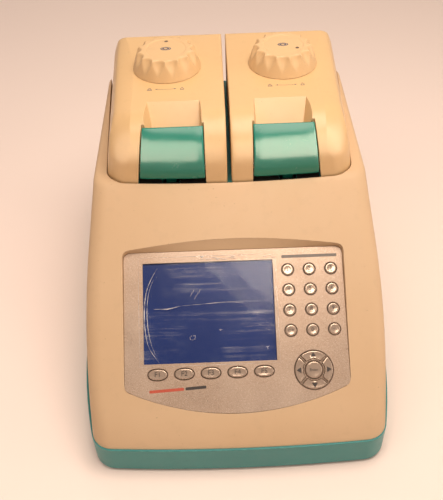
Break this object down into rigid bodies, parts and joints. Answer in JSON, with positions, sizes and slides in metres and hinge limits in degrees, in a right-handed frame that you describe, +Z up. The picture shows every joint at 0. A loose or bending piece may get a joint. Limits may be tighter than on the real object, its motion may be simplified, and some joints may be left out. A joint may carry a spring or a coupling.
{
  "type": "thermal cycler",
  "caption": "Desk-top thermal cycler with sloping keypad panel and separately hinged heated lids over tube blocks.",
  "frame": {"origin": "on the bench under the middle of the base, at the bottom centre of the bounding box", "axes": "+Z up, -Y towards the user's side with the keypad, +X to the user's right"},
  "size_m": [0.3, 0.4, 0.2644],
  "materials": {
    "housing_plastic": "fine textured",
    "lid_plastic": "satin",
    "knob_plastic": "satin",
    "tray_plastic": "satin",
    "handle_plastic": "smooth",
    "panel_film": "silver printed film",
    "key_film": "embossed film",
    "clear_film": "scratched clear film",
    "display_face": "blue display",
    "circuit_board": "solder mask",
    "sheet_steel": "zinc plated",
    "bright_steel": "polished",
    "aluminium": "extruded",
    "block_metal": "satin",
    "black_plastic": "moulded",
    "foot_rubber": "matt",
    "white_ceramic": "matt"
  },
  "bodies": {
    "chassis": {"base_tray": "tray_plastic", "rubber_feet": "foot_rubber", "main_housing": "housing_plastic", "deck_plate": "tray_plastic", "control_panel": "panel_film", "display_window": "clear_film", "display_module": "display_face", "keypad_board": "circuit_board", "main_board": "circuit_board", "power_supply": "sheet_steel", "heatsinks": "aluminium", "fan_frames": "black_plastic", "rear_panel": "sheet_steel", "power_inlet": "black_plastic", "data_ports": "sheet_steel", "sample_block_left": "block_metal", "sample_block_right": "block_metal", "peltier_modules": "white_ceramic", "block_gaskets": "foot_rubber", "hinge_brackets": "sheet_steel", "hinge_pins": "bright_steel", "housing_screws": "bright_steel", "latch_catches": "sheet_steel"},
    "lid_left": {"lid_shell_left": "lid_plastic", "lid_frame_left": "aluminium"},
    "handle_left": {"lid_handle_left": "handle_plastic"},
    "knob_left": {"lid_knob_left": "knob_plastic", "knob_spindle_left": "bright_steel"},
    "plate_left": {"heated_plate_left": "block_metal"},
    "fan_left": {"fan_rotor_left": "black_plastic"},
    "lid_right": {"lid_shell_right": "lid_plastic", "lid_frame_right": "aluminium"},
    "handle_right": {"lid_handle_right": "handle_plastic"},
    "knob_right": {"lid_knob_right": "knob_plastic", "knob_spindle_right": "bright_steel"},
    "plate_right": {"heated_plate_right": "block_metal"},
    "fan_right": {"fan_rotor_right": "black_plastic"},
    "rocker": {"power_switch": "black_plastic"},
    "key_1": {"key_1": "key_film"},
    "key_2": {"key_2": "key_film"},
    "key_3": {"key_3": "key_film"},
    "key_4": {"key_4": "key_film"},
    "key_5": {"key_5": "key_film"},
    "key_6": {"key_6": "key_film"},
    "key_7": {"key_7": "key_film"},
    "key_8": {"key_8": "key_film"},
    "key_9": {"key_9": "key_film"},
    "key_clear": {"key_clear": "key_film"},
    "key_0": {"key_0": "key_film"},
    "key_sign": {"key_sign": "key_film"},
    "key_f1": {"key_f1": "key_film"},
    "key_f2": {"key_f2": "key_film"},
    "key_f3": {"key_f3": "key_film"},
    "key_f4": {"key_f4": "key_film"},
    "key_f5": {"key_f5": "key_film"},
    "key_up": {"key_up": "key_film"},
    "key_left": {"key_left": "key_film"},
    "key_down": {"key_down": "key_film"},
    "key_right": {"key_right": "key_film"},
    "key_enter": {"key_enter": "key_film"}
  },
  "joints": [
    {"name": "lid_hinge_left", "type": "hinge", "parent": "chassis", "child": "lid_left", "pos_m": [-0.0574, 0.166, 0.205], "axis": [-1, 0, 0], "range_deg": [0, 75]},
    {"name": "handle_pull_left", "type": "hinge", "parent": "lid_left", "child": "handle_left", "pos_m": [-0.0574, 0, 0.2], "axis": [1, 0, 0], "range_deg": [0, 20], "stiffness_Nm_per_rad": 0.25, "springref_deg": -11.46},
    {"name": "knob_turn_left", "type": "hinge", "parent": "lid_left", "child": "knob_left", "pos_m": [-0.0574, 0.105, 0.245], "axis": [0, 0, 1], "range_deg": [-240, 0]},
    {"name": "plate_travel_left", "type": "slide", "parent": "lid_left", "child": "plate_left", "axis": [0, 0, 1], "range_m": [-0.004, 0]},
    {"name": "fan_spin_left", "type": "hinge", "parent": "chassis", "child": "fan_left", "pos_m": [-0.0574, 0.105, 0.1], "axis": [0, 0, 1], "continuous": true},
    {"name": "lid_hinge_right", "type": "hinge", "parent": "chassis", "child": "lid_right", "pos_m": [0.0574, 0.166, 0.205], "axis": [-1, 0, 0], "range_deg": [0, 75]},
    {"name": "handle_pull_right", "type": "hinge", "parent": "lid_right", "child": "handle_right", "pos_m": [0.0574, 0, 0.2], "axis": [1, 0, 0], "range_deg": [0, 20], "stiffness_Nm_per_rad": 0.25, "springref_deg": -11.46},
    {"name": "knob_turn_right", "type": "hinge", "parent": "lid_right", "child": "knob_right", "pos_m": [0.0574, 0.105, 0.245], "axis": [0, 0, 1], "range_deg": [-120, 120]},
    {"name": "plate_travel_right", "type": "slide", "parent": "lid_right", "child": "plate_right", "axis": [0, 0, 1], "range_m": [-0.002, 0.002]},
    {"name": "fan_spin_right", "type": "hinge", "parent": "chassis", "child": "fan_right", "pos_m": [0.0574, 0.105, 0.1], "axis": [0, 0, 1], "continuous": true},
    {"name": "switch_rock", "type": "hinge", "parent": "chassis", "child": "rocker", "pos_m": [-0.048, 0.18, 0.075], "axis": [1, 0, 0], "range_deg": [-20, 0]},
    {"name": "key_1_press", "type": "slide", "parent": "chassis", "child": "key_1", "axis": [0, 0.5874, -0.8093], "range_m": [0, 0.0006], "stiffness_N_per_m": 400},
    {"name": "key_2_press", "type": "slide", "parent": "chassis", "child": "key_2", "axis": [0, 0.5874, -0.8093], "range_m": [0, 0.0006], "stiffness_N_per_m": 400},
    {"name": "key_3_press", "type": "slide", "parent": "chassis", "child": "key_3", "axis": [0, 0.5874, -0.8093], "range_m": [0, 0.0006], "stiffness_N_per_m": 400},
    {"name": "key_4_press", "type": "slide", "parent": "chassis", "child": "key_4", "axis": [0, 0.5874, -0.8093], "range_m": [0, 0.0006], "stiffness_N_per_m": 400},
    {"name": "key_5_press", "type": "slide", "parent": "chassis", "child": "key_5", "axis": [0, 0.5874, -0.8093], "range_m": [0, 0.0006], "stiffness_N_per_m": 400},
    {"name": "key_6_press", "type": "slide", "parent": "chassis", "child": "key_6", "axis": [0, 0.5874, -0.8093], "range_m": [0, 0.0006], "stiffness_N_per_m": 400},
    {"name": "key_7_press", "type": "slide", "parent": "chassis", "child": "key_7", "axis": [0, 0.5874, -0.8093], "range_m": [0, 0.0006], "stiffness_N_per_m": 400},
    {"name": "key_8_press", "type": "slide", "parent": "chassis", "child": "key_8", "axis": [0, 0.5874, -0.8093], "range_m": [0, 0.0006], "stiffness_N_per_m": 400},
    {"name": "key_9_press", "type": "slide", "parent": "chassis", "child": "key_9", "axis": [0, 0.5874, -0.8093], "range_m": [0, 0.0006], "stiffness_N_per_m": 400},
    {"name": "key_clear_press", "type": "slide", "parent": "chassis", "child": "key_clear", "axis": [0, 0.5874, -0.8093], "range_m": [0, 0.0006], "stiffness_N_per_m": 400},
    {"name": "key_0_press", "type": "slide", "parent": "chassis", "child": "key_0", "axis": [0, 0.5874, -0.8093], "range_m": [0, 0.0006], "stiffness_N_per_m": 400},
    {"name": "key_sign_press", "type": "slide", "parent": "chassis", "child": "key_sign", "axis": [0, 0.5874, -0.8093], "range_m": [0, 0.0006], "stiffness_N_per_m": 400},
    {"name": "key_f1_press", "type": "slide", "parent": "chassis", "child": "key_f1", "axis": [0, 0.5874, -0.8093], "range_m": [0, 0.0006], "stiffness_N_per_m": 400},
    {"name": "key_f2_press", "type": "slide", "parent": "chassis", "child": "key_f2", "axis": [0, 0.5874, -0.8093], "range_m": [0, 0.0006], "stiffness_N_per_m": 400},
    {"name": "key_f3_press", "type": "slide", "parent": "chassis", "child": "key_f3", "axis": [0, 0.5874, -0.8093], "range_m": [0, 0.0006], "stiffness_N_per_m": 400},
    {"name": "key_f4_press", "type": "slide", "parent": "chassis", "child": "key_f4", "axis": [0, 0.5874, -0.8093], "range_m": [0, 0.0006], "stiffness_N_per_m": 400},
    {"name": "key_f5_press", "type": "slide", "parent": "chassis", "child": "key_f5", "axis": [0, 0.5874, -0.8093], "range_m": [0, 0.0006], "stiffness_N_per_m": 400},
    {"name": "key_up_press", "type": "slide", "parent": "chassis", "child": "key_up", "axis": [0, 0.5874, -0.8093], "range_m": [0, 0.0006], "stiffness_N_per_m": 400},
    {"name": "key_left_press", "type": "slide", "parent": "chassis", "child": "key_left", "axis": [0, 0.5874, -0.8093], "range_m": [0, 0.0006], "stiffness_N_per_m": 400},
    {"name": "key_down_press", "type": "slide", "parent": "chassis", "child": "key_down", "axis": [0, 0.5874, -0.8093], "range_m": [0, 0.0006], "stiffness_N_per_m": 400},
    {"name": "key_right_press", "type": "slide", "parent": "chassis", "child": "key_right", "axis": [0, 0.5874, -0.8093], "range_m": [0, 0.0006], "stiffness_N_per_m": 400},
    {"name": "key_enter_press", "type": "slide", "parent": "chassis", "child": "key_enter", "axis": [0, 0.5874, -0.8093], "range_m": [0, 0.0006], "stiffness_N_per_m": 400}
  ],
  "couplings": [
    {"joint": "knob_turn_left", "follows": "plate_travel_left", "rad_per_m": 1047.2},
    {"joint": "knob_turn_right", "follows": "plate_travel_right", "rad_per_m": 1047.2}
  ]
}
